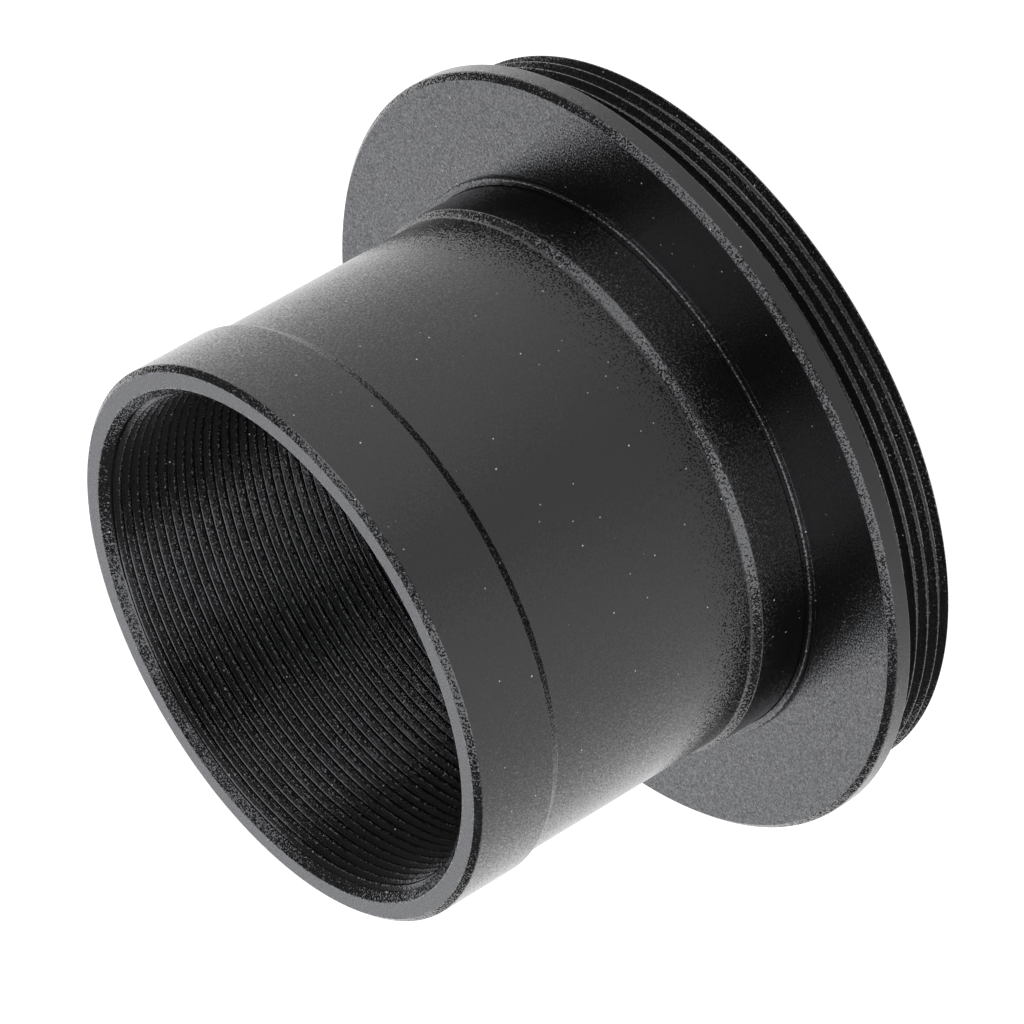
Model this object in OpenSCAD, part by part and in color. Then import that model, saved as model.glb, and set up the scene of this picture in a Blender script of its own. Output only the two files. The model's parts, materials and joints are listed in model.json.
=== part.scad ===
// Barlow lens nosepiece: a 31.7 mm push-in barrel screwed into a T2 flange ring,
// with a threaded cell of two lens elements low in the barrel.
// Units are millimetres. +Z runs along the optical axis from the camera side to the nose.
// The part stands on its rear thread, whose end face lies at z = 0.

/* [Nosepiece barrel] */
// Outside diameter of the barrel, the 1.25 inch eyepiece size
barrel_d = 31.7; // [31.6:0.05:31.75]
// Length of barrel standing out of the flange face
barrel_reach = 22.3; // [21.1:0.6:28.3]
// Length of the full-diameter band at the nose, chamfer included
band_len = 4.95; // [3:0.15:7.2]
// Length of the full-diameter collar above the flange face
collar_len = 3.25; // [2.5:0.05:5]
// Depth of the safety undercut, on the radius
undercut_depth = 0.31; // [0.15:0.02:0.45]
// Length of the slope from the undercut to the nose band
front_slope = 0.55; // [0.3:0.05:1]
// Length of the slope from the collar to the undercut
rear_slope = 0.42; // [0.3:0.02:1]
// Chamfer on the nose's outer edge
nose_chamfer = 0.3; // [0.1:0.05:0.5]
// Width of the flat ring at the very nose
nose_ring_w = 1; // [0.7:0.05:1.1]

/* [Filter thread] */
// Radius at the crests of the internal M28.5 thread
filter_crest_r = 13.93; // [13.85:0.01:14]
// Radius at the roots of the internal M28.5 thread
filter_root_r = 14.25; // [14.2:0.01:14.3]
// Pitch of the filter thread
filter_pitch = 0.6; // [0.55:0.05:0.7]

/* [T2 flange ring] */
// Diameter over the flange
flange_d = 44; // [43.5:0.1:48]
// Height of the flange face above the rear end
flange_face_z = 5.1; // [5:0.05:5.6]
// Height of the flange's rear shoulder, which is also the length of the T2 thread
thread_len = 3.82; // [3.7:0.02:4]
// Chamfer on the flange's front edge
flange_chamfer = 0.33; // [0.1:0.01:0.5]
// Diameter over the crests of the M42 thread
t2_crest_d = 41.9; // [41.7:0.05:42]
// Depth of the M42 thread, on the radius
t2_depth = 0.43; // [0.3:0.01:0.46]
// Pitch of the M42 thread
t2_pitch = 0.75; // [0.65:0.05:0.75]
// Height of the raised lip around the foot of the barrel
lip_h = 0.34; // [0.2:0.02:0.5]

/* [Lens cell] */
// Diameter of both lens elements
lens_d = 23; // [22.4:0.1:23.2]
// Diameter of the clear opening through the cell
clear_d = 21.4; // [18:0.1:21.5]
// Front surface radius of the diverging element
crown_front_radius = 90; // [75:1:200]
// Rear surface radius of the diverging element
crown_rear_radius = 45; // [42:0.5:46]
// Thickness of the diverging element at its centre
crown_centre = 1.2; // [1:0.05:1.25]
// Front surface radius of the converging element
flint_front_radius = 44; // [43:0.5:50]
// Rear surface radius of the converging element
flint_rear_radius = 120; // [110:1:300]
// Thickness of the converging element at its edge
flint_edge = 1.5; // [1.2:0.05:1.5]
// Air gap between the two elements on the axis
air_gap = 0.2; // [0.15:0.05:0.3]
// Width of the two spanner slots in the retaining ring
slot_w = 1.4; // [1:0.1:2]

/* [Hidden] */
$fn = 180;
eps = 0.01;
run_gap = 0.03;
thread_gap = 0.06;

// heights up the axis
nose_z = flange_face_z + barrel_reach;
lip_z = flange_face_z + lip_h;
shelf_z = 1;
counterbore_z = 4.6;
cell_seat_z = 3.8;
cell_top_z = 11;
filter_relief_lo_z = 11.2;
filter_relief_hi_z = 11.9;

// barrel radii
barrel_r = barrel_d / 2;
undercut_r = barrel_r - undercut_depth;
face_outer_r = barrel_r - nose_chamfer;
mouth_r = face_outer_r - nose_ring_w;
spigot_crest_r = 15.4;
spigot_root_r = 15.08;
throat_r = 12.9;

// ring radii
flange_r = flange_d / 2;
t2_crest_r = t2_crest_d / 2;
t2_root_r = t2_crest_r - t2_depth;
t2_relief_r = t2_root_r - 0.2;
counterbore_r = barrel_r + run_gap;
ring_crest_r = spigot_crest_r + thread_gap;
ring_root_r = ring_crest_r + 0.34;
lip_r = counterbore_r + 0.05;
rear_mouth_r = 13.4;

// cell radii and the optical stack, built up from the seat
lens_r = lens_d / 2;
clear_r = clear_d / 2;
cell_crest_r = filter_crest_r - 0.08;
cell_root_r = cell_crest_r - 0.3;
retainer_r = lens_r + 0.36;
rim_flat = 0.3;
flint_rear_z = cell_seat_z + 0.9;
flint_rim_z = flint_rear_z + flint_edge;
flint_front_z = flint_rim_z + sag(flint_front_radius, lens_r);
crown_rear_z = flint_front_z + air_gap;
crown_rim_z = crown_rear_z - sag(crown_rear_radius, lens_r - rim_flat);
crown_front_z = crown_rear_z + crown_centre;
crown_top_z = crown_front_z + sag(crown_front_radius, lens_r - rim_flat);

// Height of a spherical surface's curve between its axis and the radius r
function sag(radius, r) = radius - sqrt(radius * radius - r * r);

// One ridge of a male or female thread, as profile points listed up the axis
function ridge(zc, root, crest, flat, flank) = [
    [root, zc - flat / 2 - flank], [crest, zc - flat / 2],
    [crest, zc + flat / 2], [root, zc + flat / 2 + flank]];

// Ridges from the lowest centre to the highest
function ridges(first, count, pitch, root, crest, flat, flank) =
    [for (i = [0:count - 1]) each ridge(first + i * pitch, root, crest, flat, flank)];

function reversed(points) = [for (i = [len(points) - 1:-1:0]) points[i]];

// internal thread of the barrel: ridge centres step down from just under the mouth
filter_flat = 0.15;
filter_flank = 0.185;
first_filter_z = nose_z - 0.81;
filter_half = filter_flat / 2 + filter_flank;
upper_count = floor((first_filter_z - filter_half - filter_relief_hi_z) / filter_pitch) + 1;
upper_low_z = first_filter_z - (upper_count - 1) * filter_pitch;
lower_top_z = filter_relief_lo_z - filter_half - 0.04;
lower_count = floor((lower_top_z - filter_half - cell_seat_z - 0.2) / filter_pitch) + 1;
lower_low_z = lower_top_z - (lower_count - 1) * filter_pitch;

ring_outer = concat(
    [[t2_crest_r - 0.2, 0], [t2_crest_r, 0.2], [t2_crest_r, 0.3], [t2_root_r, 0.55]],
    ridges(0.25 + t2_pitch, 4, t2_pitch, t2_root_r, t2_crest_r, 0.1, 0.25),
    [[t2_relief_r, 3.55], [t2_relief_r, thread_len],
     [flange_r, thread_len], [flange_r, flange_face_z - flange_chamfer],
     [flange_r - flange_chamfer, flange_face_z],
     [lip_r + lip_h, flange_face_z], [lip_r + lip_h, flange_face_z + lip_h / 2],
     [lip_r + lip_h / 2, lip_z], [lip_r, lip_z]]);
ring_inner = concat(
    [[rear_mouth_r + 0.3, 0], [rear_mouth_r, 0.3], [rear_mouth_r, shelf_z], [ring_root_r, shelf_z]],
    ridges(1.55, 4, 0.75, ring_root_r, ring_crest_r, 0.2, 0.18),
    [[ring_root_r, counterbore_z], [counterbore_r, counterbore_z], [counterbore_r, lip_z]]);

barrel_outer = concat(
    [[spigot_root_r - 0.1, shelf_z], [spigot_root_r, shelf_z + 0.1]],
    ridges(1.5, 4, 0.75, spigot_root_r, spigot_crest_r, 0.2, 0.18),
    [[spigot_root_r, counterbore_z + 0.1], [barrel_r, counterbore_z + 0.1],
     [barrel_r, flange_face_z + collar_len], [undercut_r, flange_face_z + collar_len + rear_slope],
     [undercut_r, nose_z - band_len - front_slope], [barrel_r, nose_z - band_len],
     [barrel_r, nose_z - nose_chamfer], [face_outer_r, nose_z]]);
barrel_inner = concat(
    [[throat_r, shelf_z], [throat_r, cell_seat_z], [filter_root_r, cell_seat_z]],
    ridges(lower_low_z, lower_count, filter_pitch, filter_root_r, filter_crest_r,
           filter_flat, filter_flank),
    [[filter_root_r + 0.05, filter_relief_lo_z], [filter_root_r + 0.05, filter_relief_hi_z - 0.1]],
    ridges(upper_low_z, upper_count, filter_pitch, filter_root_r, filter_crest_r,
           filter_flat, filter_flank),
    [[filter_root_r, nose_z - (mouth_r - filter_root_r)], [mouth_r, nose_z]]);

cell_outer = concat(
    [[cell_root_r - 0.15, cell_seat_z], [cell_root_r, cell_seat_z + 0.15]],
    ridges(4.45, 8, filter_pitch, cell_root_r, cell_crest_r, 0.15, 0.17),
    [[cell_root_r, 9.3], [cell_crest_r, 9.5], [cell_crest_r, cell_top_z - 0.2],
     [cell_crest_r - 0.2, cell_top_z]]);
cell_inner = [
    [clear_r + 0.4, cell_seat_z], [clear_r, cell_seat_z + 0.4],
    [clear_r, flint_rear_z], [lens_r + run_gap, flint_rear_z],
    [lens_r + run_gap, crown_top_z - 0.25], [retainer_r + run_gap, crown_top_z - 0.15],
    [retainer_r + run_gap, cell_top_z - 0.15], [retainer_r + run_gap + 0.15, cell_top_z]];

module ring_of(outer, inner) {
    rotate_extrude() polygon(concat(outer, reversed(inner)));
}

module t2_flange_ring() {
    color([0.09, 0.09, 0.1]) ring_of(ring_outer, ring_inner);
}

module nosepiece_barrel() {
    color([0.1, 0.1, 0.11]) ring_of(barrel_outer, barrel_inner);
}

module rear_baffle() {
    color([0.05, 0.05, 0.05]) ring_of(
        [[throat_r - 0.12, 1.4], [throat_r - 0.02, 1.5], [throat_r - 0.02, 2.5], [throat_r - 0.12, 2.6]],
        [[11.4, 1.4], [10.5, 2.2], [10.5, 2.35], [10.75, 2.6]]);
}

module lens_cell() {
    color([0.12, 0.12, 0.13]) ring_of(cell_outer, cell_inner);
}

module negative_element() {
    color([0.75, 0.85, 0.9, 0.35]) difference() {
        translate([0, 0, crown_rim_z]) cylinder(h = crown_top_z - crown_rim_z, r = lens_r);
        translate([0, 0, crown_rear_z - crown_rear_radius]) sphere(r = crown_rear_radius);
        translate([0, 0, crown_front_z + crown_front_radius]) sphere(r = crown_front_radius);
    }
}

module element_spacer() {
    outer_r = lens_r - 0.02;
    inner_r = clear_r + 0.3;
    outer_z = flint_front_z - sag(flint_front_radius, outer_r) + eps;
    inner_z = flint_front_z - sag(flint_front_radius, inner_r) + eps;
    color([0.06, 0.06, 0.06]) ring_of(
        [[outer_r, outer_z], [outer_r, crown_rim_z]],
        [[inner_r, inner_z], [inner_r, crown_rim_z]]);
}

module positive_element() {
    hollow_z = flint_rear_z + sag(flint_rear_radius, lens_r - rim_flat);
    color([0.8, 0.88, 0.86, 0.35]) difference() {
        intersection() {
            translate([0, 0, flint_rear_z])
                cylinder(h = flint_front_z - flint_rear_z + 1, r = lens_r);
            translate([0, 0, flint_front_z - flint_front_radius]) sphere(r = flint_front_radius);
        }
        translate([0, 0, hollow_z - flint_rear_radius]) sphere(r = flint_rear_radius);
    }
}

module retaining_ring() {
    slot_depth = 0.45;
    color([0.08, 0.08, 0.09]) difference() {
        ring_of(
            [[retainer_r - 0.1, crown_top_z], [retainer_r, crown_top_z + 0.1],
             [retainer_r, cell_top_z - 0.25], [retainer_r - 0.1, cell_top_z - 0.15]],
            [[clear_r + 0.15, crown_top_z], [clear_r + 0.15, cell_top_z - 0.35],
             [clear_r + 0.35, cell_top_z - 0.15]]);
        for (side = [0, 180])
            rotate([0, 0, side])
                translate([clear_r - 0.5, -slot_w / 2, cell_top_z - 0.15 - slot_depth])
                    cube([retainer_r - clear_r + 1, slot_w, slot_depth + 1]);
    }
}

t2_flange_ring();
nosepiece_barrel();
rear_baffle();
lens_cell();
negative_element();
element_spacer();
positive_element();
retaining_ring();
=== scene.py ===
"""Looks of the Barlow lens nosepiece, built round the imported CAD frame.

Profiles are half sections in millimetres, as (radius, height) points. They are turned into rings
round the Z axis, and threads are cut into them as true right-handed helices.
"""

import json
import math

import bmesh
import bpy
from mathutils import Matrix, Vector


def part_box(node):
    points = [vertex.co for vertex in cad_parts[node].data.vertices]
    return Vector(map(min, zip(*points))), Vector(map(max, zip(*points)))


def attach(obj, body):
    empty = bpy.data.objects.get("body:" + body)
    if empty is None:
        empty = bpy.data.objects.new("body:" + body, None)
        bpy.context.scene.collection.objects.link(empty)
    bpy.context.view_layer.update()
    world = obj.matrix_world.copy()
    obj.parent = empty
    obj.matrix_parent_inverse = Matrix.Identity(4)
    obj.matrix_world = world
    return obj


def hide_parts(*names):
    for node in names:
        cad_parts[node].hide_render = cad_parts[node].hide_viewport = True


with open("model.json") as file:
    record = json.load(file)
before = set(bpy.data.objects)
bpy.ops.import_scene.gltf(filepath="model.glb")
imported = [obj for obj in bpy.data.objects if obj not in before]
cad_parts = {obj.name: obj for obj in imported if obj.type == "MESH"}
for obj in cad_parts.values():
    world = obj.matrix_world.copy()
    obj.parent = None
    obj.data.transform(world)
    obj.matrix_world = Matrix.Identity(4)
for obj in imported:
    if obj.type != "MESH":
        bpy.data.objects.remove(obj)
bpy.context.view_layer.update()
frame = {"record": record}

MM = 0.001
SIDES = 240
CAMERA_SIDE = math.radians(-90)
MERGE_DISTANCE = 4e-7
SHARP_ANGLE = math.radians(38)


def span(node):
    """Outer radius, lowest and highest point of a CAD node, in millimetres."""
    low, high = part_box(node)
    return high.x / MM, low.z / MM, high.z / MM


def mount(name):
    return next(m for m in frame["record"]["mounts"] if m["name"] == name)


BARREL_R, BARREL_REAR, NOSE_Z = span("nosepiece_barrel")
FLANGE_R, RING_REAR, LIP_Z = span("t2_flange_ring")
CELL_R, CELL_SEAT, CELL_TOP = span("lens_cell")
BAFFLE_R, BAFFLE_REAR, BAFFLE_TOP = span("rear_baffle")
RETAINER_R, RETAINER_REAR, RETAINER_TOP = span("retaining_ring")
LENS_R, FLINT_REAR, FLINT_TOP = span("positive_element")
SPACER_R, _, SPACER_TOP = span("element_spacer")
_, _, CROWN_TOP = span("negative_element")
FILTER_CREST = mount("filter_thread")["dims"]["r_mm"]
T2_CREST = mount("t2_thread")["dims"]["r_mm"]
FLANGE_FACE = mount("flange_front")["pos_m"][2] / MM


# ---- turned meshes ----

def interpolate(x, xs, ys):
    """Straight-line interpolation through the points (xs, ys), held level past both ends."""
    if x <= xs[0]:
        return ys[0]
    for x0, x1, y0, y1 in zip(xs, xs[1:], ys, ys[1:]):
        if x <= x1:
            return y0 + (y1 - y0) * (x - x0) / (x1 - x0)
    return ys[-1]


def rounded(points, radius, closed=False):
    """The profile with its corners rounded off. A point's third number is a corner radius of its own."""
    run = [points[-1]] + points + [points[0]] if closed else points
    out = [] if closed else [points[0][:2]]
    for before, point, after in zip(run, run[1:], run[2:]):
        corner = Vector(point[:2])
        arms = [Vector(before[:2]) - corner, Vector(after[:2]) - corner]
        turn = math.pi - arms[0].angle(arms[1])
        if turn < math.radians(5):
            out.append(tuple(corner))
            continue
        reach = min((*point, radius)[2] * math.tan(turn / 2), 0.45 * arms[0].length, 0.45 * arms[1].length)
        start, end = (corner + arm.normalized() * reach for arm in arms)
        steps = 5 if len(point) > 2 else 3
        for i in range(steps + 1):
            t = i / steps
            out.append(tuple(start * (1 - t) ** 2 + corner * 2 * t * (1 - t) + end * t * t))
    return out + out[:1] if closed else out + [points[-1][:2]]


def arc(radius_of_curvature, centre_z, r_from, r_to, steps):
    """Points along a spherical surface that crosses the axis at centre_z, domed upwards."""
    points = []
    for i in range(steps + 1):
        r = r_from + (r_to - r_from) * i / steps
        points.append((r, centre_z - radius_of_curvature + math.sqrt(radius_of_curvature ** 2 - r * r)))
    return points


class Thread:
    """A helical thread between two heights. The limit is the envelope it is cut back to."""

    def __init__(self, low, high, pitch, crest_z, root, crest, flat, flank, limit):
        self.low, self.high, self.pitch, self.crest_z = low, high, pitch, crest_z
        self.root, self.crest = root, crest
        self.male = crest > root
        self.limit_z, self.limit_r = zip(*limit)
        half = flat / 2
        self.steps = (half, half + 0.1 * flank, half + 0.82 * flank, half + 1.1 * flank)
        self.heights = (1, 0.92, 0.1, 0)

    def radius(self, z, angle):
        along = z - self.crest_z - self.pitch * (angle - CAMERA_SIDE) / math.tau
        offset = abs((along + self.pitch / 2) % self.pitch - self.pitch / 2)
        height = interpolate(offset, self.steps, self.heights)
        radius = self.root + height * (self.crest - self.root)
        limit = interpolate(z, self.limit_z, self.limit_r)
        return min(radius, limit) if self.male else max(radius, limit)

    def rows(self):
        """Starting heights, at angle 0, of the helical rows that the faces run along."""
        shift = self.crest_z - self.pitch * CAMERA_SIDE / math.tau
        first = math.floor((self.low - shift) / self.pitch) - 2
        last = math.ceil((self.high - shift) / self.pitch) + 1
        offsets = [-s for s in reversed(self.steps)] + list(self.steps)
        centres = (shift + self.pitch * turn for turn in range(first, last + 1))
        return [centre + offset for centre in centres for offset in offsets]


def vertex(bm, radius, angle, z):
    return bm.verts.new((radius * MM * math.cos(angle), radius * MM * math.sin(angle), z * MM))


def add_plain(bm, points, sides, finish):
    """Rings of faces through a plain stretch of profile. A Thread for a radius follows its end."""
    rings = []
    for radius, z in points:
        angles = [math.tau * i / sides for i in range(sides)]
        radii = [radius.radius(z, a) for a in angles] if isinstance(radius, Thread) else [radius] * sides
        rings.append([vertex(bm, r, a, z) for r, a in zip(radii, angles)])
    for low, high in zip(rings, rings[1:]):
        for i in range(sides):
            j = (i + 1) % sides
            bm.faces.new((low[i], low[j], high[j], high[i])).material_index = finish


def add_thread(bm, thread, sides, finish):
    """The faces of a thread, in rows that climb one pitch per turn."""
    columns = []
    for start in thread.rows():
        column = []
        for i in range(sides + 1):
            angle = math.tau * i / sides
            z = min(max(start + thread.pitch * i / sides, thread.low), thread.high)
            column.append((z, vertex(bm, thread.radius(z, angle), angle, z)))
        columns.append(column)
    for low, high in zip(columns, columns[1:]):
        for i in range(sides):
            corners = (low[i], low[i + 1], high[i + 1], high[i])
            if len({z for z, _ in corners}) > 1:
                bm.faces.new([v for _, v in corners]).material_index = finish


def turned(name, sections, body, node, materials, sides=SIDES, slots=()):
    """A solid of revolution from a closed run of plain stretches and threads, end to end.

    Each section is a profile or thread and the number of the material it is finished in.
    """
    bm = bmesh.new()
    for shape, finish in sections:
        (add_thread if isinstance(shape, Thread) else add_plain)(bm, shape, sides, finish)
    bmesh.ops.remove_doubles(bm, verts=bm.verts, dist=MERGE_DISTANCE)
    bmesh.ops.delete(bm, geom=[v for v in bm.verts if not v.link_faces], context="VERTS")
    bmesh.ops.recalc_face_normals(bm, faces=bm.faces)
    for face in bm.faces:
        face.smooth = True
    mesh = bpy.data.meshes.new(name)
    bm.to_mesh(mesh)
    bm.free()
    for material in materials:
        mesh.materials.append(material)
    piece = bpy.data.objects.new(name, mesh)
    bpy.context.scene.collection.objects.link(piece)
    for slot_box in slots:
        cut_box(piece, *slot_box)
    shade(piece.data)
    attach(piece, body)
    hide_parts(node)
    return piece


def shade(mesh):
    """Smooth shading that keeps flats flat: corner normals weighted by face area, split at sharp edges."""
    bm = bmesh.new()
    bm.from_mesh(mesh)
    limit = math.cos(SHARP_ANGLE)
    weighted = {face: face.normal * face.calc_area() / MM ** 2 for face in bm.faces}
    normals = []
    for face in bm.faces:
        for corner in face.verts:
            near = (weighted[other] for other in corner.link_faces if other.normal.dot(face.normal) > limit)
            normals.append(sum(near, Vector()).normalized())
    bm.free()
    mesh.normals_split_custom_set(normals)


def cut_box(piece, low, high):
    """Cuts a box, given by its corners in millimetres, out of a piece."""
    bm = bmesh.new()
    size = Vector(high) - Vector(low)
    middle = (Vector(high) + Vector(low)) / 2
    bmesh.ops.create_cube(bm, size=1, matrix=Matrix.Translation(middle * MM) @ Matrix.Diagonal((*size * MM, 1)))
    cutter_mesh = bpy.data.meshes.new("cutter")
    bm.to_mesh(cutter_mesh)
    bm.free()
    cutter = bpy.data.objects.new("cutter", cutter_mesh)
    bpy.context.scene.collection.objects.link(cutter)
    cut = piece.modifiers.new("cut", "BOOLEAN")
    cut.operation, cut.solver, cut.object = "DIFFERENCE", "EXACT", cutter
    shape = bpy.data.meshes.new_from_object(piece.evaluated_get(bpy.context.evaluated_depsgraph_get()))
    piece.modifiers.remove(cut)
    old, piece.data = piece.data, shape
    shape.name = piece.name
    bpy.data.meshes.remove(old)
    bpy.data.objects.remove(cutter)
    bpy.data.meshes.remove(cutter_mesh)


# ---- materials ----

class Recipe:
    """A node material under construction."""

    def __init__(self, name):
        self.material = bpy.data.materials.new(name)
        self.material.use_nodes = True
        self.nodes, self.links = self.material.node_tree.nodes, self.material.node_tree.links
        self.shader = self.nodes["Principled BSDF"]
        self.place = self.nodes.new("ShaderNodeTexCoord").outputs["Object"]

    def set(self, **values):
        for name, value in values.items():
            self.shader.inputs[name.replace("_", " ")].default_value = value

    def noise(self, feature_mm, detail):
        node = self.nodes.new("ShaderNodeTexNoise")
        node.inputs["Scale"].default_value = 1 / (feature_mm * MM)
        node.inputs["Detail"].default_value = detail
        node.inputs["Roughness"].default_value = 0.6
        self.links.new(self.place, node.inputs["Vector"])
        return node.outputs["Fac"]

    def remap(self, source, low, high, bottom, top):
        node = self.nodes.new("ShaderNodeMapRange")
        for name, value in (("From Min", low), ("From Max", high), ("To Min", bottom), ("To Max", top)):
            node.inputs[name].default_value = value
        self.links.new(source, node.inputs["Value"])
        return node.outputs["Result"]

    def times(self, a, b):
        node = self.nodes.new("ShaderNodeMath")
        node.operation = "MULTIPLY"
        self.links.new(a, node.inputs[0])
        self.links.new(b, node.inputs[1])
        return node.outputs[0]

    def vector(self, operation, a, b=None, value=None, scale=None):
        node = self.nodes.new("ShaderNodeVectorMath")
        node.operation = operation
        self.links.new(a, node.inputs[0])
        if b:
            self.links.new(b, node.inputs[1])
        elif value:
            node.inputs[1].default_value = value
        if isinstance(scale, float):
            node.inputs["Scale"].default_value = scale
        elif scale:
            self.links.new(scale, node.inputs["Scale"])
        return node.outputs["Value" if operation == "LENGTH" else "Vector"]

    def pebbled(self, feature_mm, tilt):
        """Leans the surface normal this way and that, as fine blasting does. The tilt may vary."""
        node = self.nodes.new("ShaderNodeTexNoise")
        node.inputs["Scale"].default_value = 1 / (feature_mm * MM)
        node.inputs["Detail"].default_value = 1.0
        self.links.new(self.place, node.inputs["Vector"])
        lean = self.vector("SCALE", self.vector("SUBTRACT", node.outputs["Color"], value=(0.5, 0.5, 0.5)),
                           scale=tilt)
        normal = self.nodes.new("ShaderNodeNewGeometry").outputs["Normal"]
        leaned = self.vector("NORMALIZE", self.vector("ADD", normal, lean))
        self.links.new(leaned, self.shader.inputs["Normal"])

    def slope(self):
        """0 on the cylinders and on the flat faces, rising to 1 on the 45 degree slopes between them."""
        normal = self.nodes.new("ShaderNodeNewGeometry").outputs["Normal"]
        part = self.nodes.new("ShaderNodeSeparateXYZ")
        self.links.new(normal, part.inputs["Vector"])
        axial = self.times(part.outputs["Z"], part.outputs["Z"])
        return self.times(axial, self.remap(axial, 0, 1, 4, 0))

    def near_radius(self, full_mm, none_mm):
        """1 at or beyond one distance from the axis, fading to 0 at the other."""
        flat = self.vector("MULTIPLY", self.place, value=(1, 1, 0))
        return self.remap(self.vector("LENGTH", flat), none_mm * MM, full_mm * MM, 0, 1)

    def specks(self, spacing_mm, radius_mm, share):
        """Small round spots: 1 inside a spot, 0 outside, in a share of the cells."""
        node = self.nodes.new("ShaderNodeTexVoronoi")
        node.inputs["Scale"].default_value = 1 / (spacing_mm * MM)
        self.links.new(self.place, node.inputs["Vector"])
        draw = self.nodes.new("ShaderNodeSeparateColor")
        self.links.new(node.outputs["Color"], draw.inputs["Color"])
        reach = radius_mm / spacing_mm
        spot = self.remap(node.outputs["Distance"], reach / 2, reach, 1, 0)
        return self.times(spot, self.remap(draw.outputs["Red"], 1 - share, 1, 0, 1))

    def blend(self, amount, first, second):
        """A colour between two, the first of which may itself be a blend."""
        node = self.nodes.new("ShaderNodeMix")
        node.data_type = "RGBA"
        if isinstance(first, tuple):
            node.inputs["A"].default_value = (*first, 1)
        else:
            self.links.new(first, node.inputs["A"])
        node.inputs["B"].default_value = (*second, 1)
        self.links.new(amount, node.inputs["Factor"])
        return node.outputs["Result"]

    def paint(self, colour):
        self.links.new(colour, self.shader.inputs["Base Color"])


BLACK = (0.0016, 0.0016, 0.0017)
DUST = (0.35, 0.35, 0.35)
# crest beads: partly worn dye, partly painted highlight
CREST_WEAR_AND_HIGHLIGHT = (0.02, 0.02, 0.02)
CREST_TILT = 2.0


def anodised(name, roughness, grain_mm, tilt, slope_tilt=None, crest=None, dust=1.0, colour=BLACK):
    """Black anodised aluminium: a satin skin, finely pebbled by blasting, with stray bright dust.

    Slopes may be pebbled more than cylinders and flat faces. A thread's crest, given by the radius where
    it is full and the radius where it ends, is rougher and lightened in beads: partly wear, partly painted
    highlight.
    """
    r = Recipe(name)
    r.set(IOR=1.48, Metallic=0.0)
    patches = r.noise(3.5, 3)
    r.links.new(r.remap(patches, 0.3, 0.7, roughness - 0.02, roughness + 0.02), r.shader.inputs["Roughness"])
    if crest:
        edge = r.near_radius(*crest)
        tilt = r.remap(edge, 0, 1, tilt, CREST_TILT)
        # crest lightened in beads: partly wear, partly a painted highlight standing in for glints on the crest
        colour = r.blend(r.times(edge, r.remap(r.noise(0.13, 1), 0.54, 0.66, 0, 1)), colour, CREST_WEAR_AND_HIGHLIGHT)
    elif slope_tilt:
        tilt = r.remap(r.slope(), 0, 1, tilt, slope_tilt)
    r.pebbled(grain_mm, tilt)
    r.paint(r.blend(r.specks(0.75, 0.055, dust), colour, DUST))
    return r.material


def lens_glass(name, index, film_nm):
    """Polished optical glass with a thin antireflection film and a little dust."""
    r = Recipe(name)
    r.set(IOR=index, Transmission_Weight=1.0, Thin_Film_Thickness=film_nm, Thin_Film_IOR=1.38)
    dust = r.specks(0.9, 0.03, 0.3)
    r.links.new(r.remap(dust, 0, 1, 0.0, 0.6), r.shader.inputs["Roughness"])
    r.paint(r.blend(dust, (0.97, 0.99, 0.98), (0.8, 0.8, 0.8)))
    return r.material


blasted = anodised("blasted_black", 0.19, 0.1, 0.6, slope_tilt=1.35)
turned_face = anodised("turned_black", 0.22, 0.09, 0.3)
inner_thread = anodised("filter_thread_black", 0.23, 0.11, 0.3, crest=(FILTER_CREST + 0.01, FILTER_CREST + 0.06))
outer_thread = anodised("t2_thread_black", 0.23, 0.11, 0.8, crest=(T2_CREST - 0.01, T2_CREST - 0.06))
matt = anodised("matt_black", 0.5, 0.15, 0.6, dust=0.2, colour=(0.006, 0.006, 0.006))
crown_glass = lens_glass("crown_glass", 1.517, 101)
flint_glass = lens_glass("flint_glass", 1.62, 99)
SKINS = (blasted, turned_face, inner_thread, outer_thread)
BLASTED, TURNED, INNER, OUTER = range(4)


# ---- flange ring ----

T2_ROOT = T2_CREST - 0.43
T2_RELIEF = 20.32
T2_RELIEF_Z = 3.6
FLANGE_BACK = 3.82
BORE_CREST, BORE_ROOT = 15.46, 15.8
LIP_BORE = 15.88
LIP_R = LIP_BORE + 0.05
LIP_H = LIP_Z - FLANGE_FACE
SHELF_Z = BARREL_REAR

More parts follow.
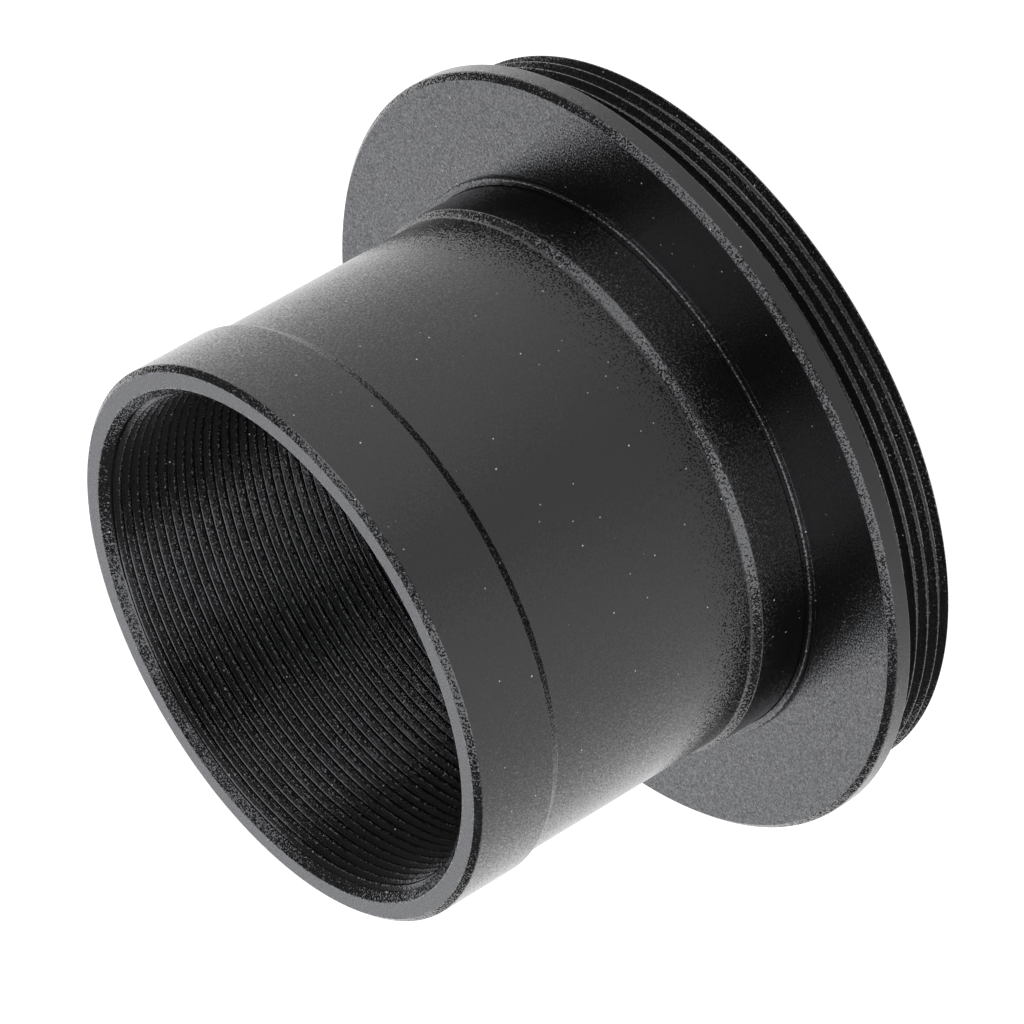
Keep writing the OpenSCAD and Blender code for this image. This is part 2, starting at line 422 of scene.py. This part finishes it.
t2 = Thread(RING_REAR, T2_RELIEF_Z, 0.75, 1.0, T2_ROOT, T2_CREST, 0.06, 0.25,
            [(RING_REAR, T2_CREST - 0.2), (RING_REAR + 0.2, T2_CREST),
             (T2_RELIEF_Z - 0.45, T2_CREST), (T2_RELIEF_Z, T2_RELIEF)])
socket = Thread(1.15, 4.45, 0.75, 1.9, BORE_ROOT, BORE_CREST, 0.2, 0.18,
                [(1.17, BORE_ROOT), (1.37, BORE_CREST), (4.23, BORE_CREST), (4.43, BORE_ROOT)])
turned("flange_ring", [
    (t2, OUTER),
    (rounded([(T2_RELIEF, T2_RELIEF_Z), (T2_RELIEF, FLANGE_BACK), (FLANGE_R, FLANGE_BACK, 0.08),
              (FLANGE_R, FLANGE_FACE - 0.7)], 0.05), TURNED),
    (rounded([(FLANGE_R, FLANGE_FACE - 0.7), (FLANGE_R, FLANGE_FACE - 0.33, 0.25),
              (FLANGE_R - 0.33, FLANGE_FACE, 0.1), (LIP_R + LIP_H, FLANGE_FACE, 0.02),
              (LIP_R + LIP_H, LIP_Z, 0.24), (LIP_BORE, LIP_Z, 0.01), (LIP_BORE, 4.6), (BORE_ROOT, 4.6),
              (BORE_ROOT, 4.45)], 0.03), BLASTED),
    (socket, INNER),
    (rounded([(BORE_ROOT, 1.15), (BORE_ROOT, SHELF_Z), (13.4, SHELF_Z), (13.4, 0.3),
              (13.7, RING_REAR), (T2_ROOT - 0.1, RING_REAR)], 0.04) + [(t2, RING_REAR)], TURNED),
], "camera_ring", "t2_flange_ring", SKINS)


# ---- nosepiece barrel ----

COLLAR_TOP = FLANGE_FACE + 3.25
BAND_BASE = NOSE_Z - 4.95
UNDERCUT_R = BARREL_R - 0.31
SPIGOT_ROOT, SPIGOT_CREST = 15.08, 15.4
SHOULDER_Z = 4.7
NOSE_CHAMFER = 0.3
MOUTH_R = 14.62
FILTER_ROOT = 14.19
FILTER_PITCH = 0.6
RELIEF_R = 14.3
THROAT_R = 12.9

mouth_end = NOSE_Z - (MOUTH_R - FILTER_ROOT)
spigot = Thread(1.2, 4.1, 0.75, 1.5, SPIGOT_ROOT, SPIGOT_CREST, 0.2, 0.18,
                [(1.22, SPIGOT_ROOT), (1.4, SPIGOT_CREST), (3.9, SPIGOT_CREST), (4.08, SPIGOT_ROOT)])
upper_filter = Thread(11.9, mouth_end, FILTER_PITCH, 26.55 - FILTER_PITCH / 2, FILTER_ROOT, FILTER_CREST,
                      0.09, 0.22, [(11.9, RELIEF_R), (12.15, FILTER_CREST),
                                   (NOSE_Z - MOUTH_R + FILTER_CREST, FILTER_CREST),
                                   (mouth_end, FILTER_ROOT)])
lower_filter = Thread(4.0, 11.2, FILTER_PITCH, 4.3, FILTER_ROOT, FILTER_CREST, 0.15, 0.185,
                      [(4.02, FILTER_ROOT), (4.25, FILTER_CREST), (11.0, FILTER_CREST), (11.2, RELIEF_R)])
turned("barrel_shell", [
    (spigot, OUTER),
    (rounded([(SPIGOT_ROOT, 4.1), (SPIGOT_ROOT, SHOULDER_Z), (BARREL_R, SHOULDER_Z), (BARREL_R, COLLAR_TOP, 0.2),
              (UNDERCUT_R, COLLAR_TOP + 0.42, 0.5), (UNDERCUT_R, BAND_BASE - 0.55, 0.1),
              (BARREL_R, BAND_BASE, 0.1),
              (BARREL_R, NOSE_Z - NOSE_CHAMFER, 0.15), (BARREL_R - NOSE_CHAMFER, NOSE_Z, 0.05),
              (BARREL_R - NOSE_CHAMFER - 0.1, NOSE_Z)], 0.04), BLASTED),
    ([(BARREL_R - NOSE_CHAMFER - 0.1, NOSE_Z), (MOUTH_R + 0.1, NOSE_Z)], TURNED),
    (rounded([(MOUTH_R + 0.1, NOSE_Z), (MOUTH_R, NOSE_Z, 0.1), (FILTER_ROOT, mouth_end)], 0.03), BLASTED),
    (upper_filter, INNER),
    ([(RELIEF_R, 11.9), (RELIEF_R, 11.55), (RELIEF_R, 11.2)], INNER),
    (lower_filter, INNER),
    (rounded([(FILTER_ROOT, 4.0), (FILTER_ROOT, CELL_SEAT), (THROAT_R, CELL_SEAT), (THROAT_R, BARREL_REAR),
              (SPIGOT_ROOT - 0.1, BARREL_REAR), (SPIGOT_ROOT, BARREL_REAR + 0.1), (SPIGOT_ROOT, 1.2)],
             0.03), TURNED),
], "barrel", "nosepiece_barrel", SKINS)


# ---- rear baffle ----

turned("baffle_ring", [(rounded([
    (11.4, BAFFLE_REAR), (12.78, BAFFLE_REAR), (BAFFLE_R, BAFFLE_REAR + 0.1), (BAFFLE_R, BAFFLE_TOP - 0.1),
    (12.78, BAFFLE_TOP), (10.75, BAFFLE_TOP), (10.5, 2.35), (10.5, 2.2)], 0.03, closed=True), 0)],
    "barrel_slider", "rear_baffle", (matt,))


# ---- lens cell, elements, spacer and retaining ring ----

CELL_ROOT = 13.55
CELL_BORE = 11.53
RETAINER_BORE = 11.89
RETAINER_ROOT = RETAINER_R - 0.18

cell_thread = Thread(4.1, 9.3, 0.6, 4.45, CELL_ROOT, CELL_R, 0.15, 0.17,
                     [(4.12, CELL_ROOT), (4.3, CELL_R), (9.1, CELL_R), (9.28, CELL_ROOT)])
retainer_socket = Thread(9.75, 10.8, 0.4, 9.9, RETAINER_BORE + 0.16, RETAINER_BORE, 0.08, 0.12,
                         [(9.77, RETAINER_BORE + 0.16), (9.9, RETAINER_BORE),
                          (10.66, RETAINER_BORE), (10.79, RETAINER_BORE + 0.16)])
turned("cell_body", [
    (cell_thread, OUTER),
    (rounded([(CELL_ROOT, 9.3), (CELL_R, 9.5), (CELL_R, 10.8), (13.65, CELL_TOP),
              (RETAINER_BORE + 0.16, CELL_TOP), (RETAINER_BORE + 0.16, 10.8)], 0.04), TURNED),
    (retainer_socket, INNER),
    (rounded([(RETAINER_BORE + 0.16, 9.75), (RETAINER_BORE + 0.16, 9.68), (CELL_BORE, 9.58),
              (CELL_BORE, FLINT_REAR), (10.7, FLINT_REAR), (10.7, 4.2), (11.1, CELL_SEAT),
              (13.4, CELL_SEAT), (CELL_ROOT, CELL_SEAT + 0.15), (CELL_ROOT, 4.1)], 0.03), TURNED),
], "cell", "lens_cell", SKINS)

FLINT_EDGE = 6.2
CROWN_RIM, CROWN_CENTRE = 6.513, 7.93
flint_front = arc(44, FLINT_TOP, 0, LENS_R - 0.08, 24)
flint_rear = arc(120, FLINT_REAR + 120 - math.sqrt(120 ** 2 - 11.2 ** 2), 11.2, 0, 20)
turned("flint_lens", [(flint_front + rounded([
    flint_front[-1], (LENS_R, FLINT_EDGE - 0.06), (LENS_R, FLINT_REAR + 0.1), (LENS_R - 0.1, FLINT_REAR),
    flint_rear[0]], 0.02)[1:] + flint_rear[1:], 0)],
    "cell_slider", "positive_element", (flint_glass,))

crown_dish = CROWN_TOP - 90 + math.sqrt(90 ** 2 - 11.2 ** 2)
crown_front = [(r, 2 * crown_dish - z) for r, z in arc(90, crown_dish, 0, 11.2, 24)]
crown_rear = arc(45, CROWN_CENTRE, 11.2, 0, 24)
turned("crown_lens", [(crown_front + rounded([
    crown_front[-1], (LENS_R - 0.08, CROWN_TOP), (LENS_R, CROWN_TOP - 0.08), (LENS_R, CROWN_RIM + 0.1),
    (LENS_R - 0.1, CROWN_RIM), crown_rear[0]], 0.02)[1:] + crown_rear[1:], 0)],
    "cell_slider", "negative_element", (crown_glass,))

spacer_foot = arc(44, FLINT_TOP + 0.01, 11.02, SPACER_R, 4)
turned("spacer_ring", [(spacer_foot + [(SPACER_R, SPACER_TOP - 0.03), (SPACER_R - 0.03, SPACER_TOP),
                                       (11.03, SPACER_TOP), (11.0, SPACER_TOP - 0.03),
                                       (11.0, spacer_foot[0][1] + 0.02), spacer_foot[0]], 0)],
       "cell_slider", "element_spacer", (matt,))

retainer_thread = Thread(RETAINER_REAR + 0.02, RETAINER_TOP - 0.02, 0.4, 10.1, RETAINER_ROOT, RETAINER_R,
                         0.08, 0.12, [(RETAINER_REAR + 0.02, RETAINER_ROOT), (RETAINER_REAR + 0.15, RETAINER_R),
                                      (RETAINER_TOP - 0.15, RETAINER_R), (RETAINER_TOP - 0.02, RETAINER_ROOT)])
turned("retainer", [
    (retainer_thread, 1),
    (rounded([(RETAINER_ROOT, RETAINER_TOP - 0.02), (RETAINER_ROOT - 0.03, RETAINER_TOP),
              (11.05, RETAINER_TOP), (10.85, RETAINER_TOP - 0.2), (10.85, RETAINER_REAR + 0.15),
              (11.0, RETAINER_REAR), (RETAINER_ROOT - 0.03, RETAINER_REAR),
              (RETAINER_ROOT, RETAINER_REAR + 0.02)], 0.02), 0),
], "cell", "retaining_ring", (turned_face, outer_thread),
    slots=[((-13, -0.7, RETAINER_TOP - 0.45), (13, 0.7, RETAINER_TOP + 1))])


# ---- camera, floor and light ----

FLOOR_ALBEDO = 0.06
FLOOR_PAINTED_GLOW = (0.98, 1.4)  # glow straight below the part (painted shade), and off to either side (painted light)
LIGHT_COLOUR = (0.97, 0.98, 1.03)


def add_camera():
    """The camera: aimed at the middle of the barrel, and rolled so that the nose hangs low."""
    elevation, roll, distance = math.radians(28.83), math.radians(-120), 0.354
    target = Vector((0, 0, 11.56)) * MM
    back = Vector((0, -math.cos(elevation), math.sin(elevation)))
    level = back.to_track_quat("Z", "Y").to_matrix()
    data = bpy.data.cameras.new("camera")
    data.sensor_width = 36
    data.lens = 239.3
    data.clip_start, data.clip_end = 0.01, 20
    camera = bpy.data.objects.new("camera", data)
    camera.matrix_world = Matrix.Translation(target + back * distance) @ (
        level @ Matrix.Rotation(roll, 3, "Z")).to_4x4()
    bpy.context.scene.collection.objects.link(camera)
    bpy.context.scene.camera = camera


def add_softbox(name, position, width, depth, radiance):
    """A rectangular area light aimed at the part, as bright as radiance to look at."""
    data = bpy.data.lights.new(name, "AREA")
    data.shape = "RECTANGLE"
    data.size, data.size_y = width, depth
    data.energy = radiance * math.pi * width * depth
    data.color = LIGHT_COLOUR
    light = bpy.data.objects.new(name, data)
    position = Vector(position)
    light.matrix_world = Matrix.Translation(position) @ position.to_track_quat("Z", "Y").to_matrix().to_4x4()
    bpy.context.scene.collection.objects.link(light)


def add_floor():
    """A wide pale sweep, lit from within so that it stays white round the part. Its glow is painted light:
    dimmer straight below the part as painted shade, brighter to either side.
    """
    bm = bmesh.new()
    bmesh.ops.create_circle(bm, cap_ends=True, segments=128, radius=3)
    mesh = bpy.data.meshes.new("floor")
    bm.to_mesh(mesh)
    bm.free()
    r = Recipe("floor_white")
    r.set(Roughness=0.9, Specular_IOR_Level=0.0)
    r.shader.inputs["Emission Color"].default_value = (1, 1, 1, 1)
    # glow rises from straight below the part to either side: painted shade and painted light
    sideways = r.vector("LENGTH", r.vector("MULTIPLY", r.place, value=(1, 0, 0)))
    r.links.new(r.remap(sideways, 0.008, 0.03, *FLOOR_PAINTED_GLOW), r.shader.inputs["Emission Strength"])
    r.shader.inputs["Base Color"].default_value = (FLOOR_ALBEDO, FLOOR_ALBEDO, FLOOR_ALBEDO, 1)
    mesh.materials.append(r.material)
    floor = bpy.data.objects.new("floor", mesh)
    floor.location.z = -0.05 * MM
    bpy.context.scene.collection.objects.link(floor)


def toward(azimuth, elevation, distance):
    """A point that far from the part. Azimuth 0 is the camera's side, and 90 is +X."""
    azimuth, elevation = math.radians(azimuth), math.radians(elevation)
    return Vector((math.sin(azimuth) * math.cos(elevation), -math.cos(azimuth) * math.cos(elevation),
                   math.sin(elevation))) * distance


add_camera()
add_floor()
add_softbox("softbox_left", toward(-48, 40, 0.6), 0.52, 0.42, 4.6)
add_softbox("softbox_left_low", toward(-48, 11, 0.6), 0.52, 0.2, 4.8)
add_softbox("softbox_right", toward(48, 40, 0.6), 0.52, 0.42, 4.0)
add_softbox("softbox_right_low", toward(48, 11, 0.6), 0.52, 0.2, 3.8)
add_softbox("softbox_back", toward(180, 23, 1.0), 1.2, 0.75, 1.92)
add_softbox("softbox_top", toward(180, 65, 0.8), 0.5, 0.4, 8)
world = bpy.data.worlds.new("studio")
bpy.context.scene.world = world
world.use_nodes = True
world.node_tree.nodes["Background"].inputs["Color"].default_value = (1, 1, 1, 1)
world.node_tree.nodes["Background"].inputs["Strength"].default_value = 0.17
bpy.context.scene.view_settings.view_transform = "Standard"
